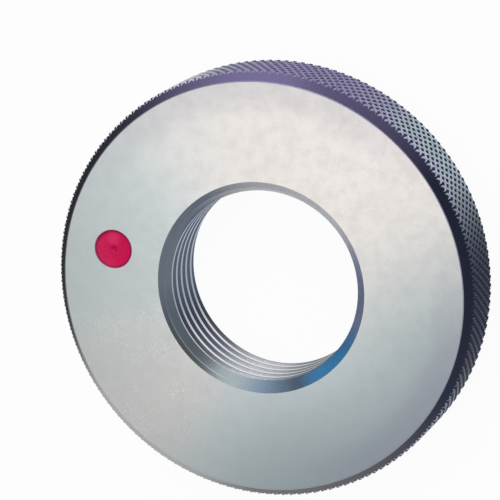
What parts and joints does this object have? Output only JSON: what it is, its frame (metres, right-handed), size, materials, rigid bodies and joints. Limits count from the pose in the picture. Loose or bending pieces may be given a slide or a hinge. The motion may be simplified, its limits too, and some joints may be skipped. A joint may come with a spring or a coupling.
{
  "type": "thread ring gauge",
  "caption": "Flat steel ring with a diamond-knurled rim, chamfered edges, a threaded bore and a round red lacquered spot on one face.",
  "frame": {"origin": "on the bore's axis at the back face, which the ring lies on", "axes": "+Z along the bore towards the face with the red spot; -Y towards the red spot"},
  "size_m": [0.063, 0.063, 0.012],
  "materials": {
    "gauge_steel": "satin ground faces; smooth blackened chamfers, knurl and thread",
    "red_lacquer": "glossy brushed-in lacquer"
  },
  "bodies": {
    "root": {"ring_body": "gauge_steel", "red_mark": "red_lacquer"}
  },
  "joints": []
}
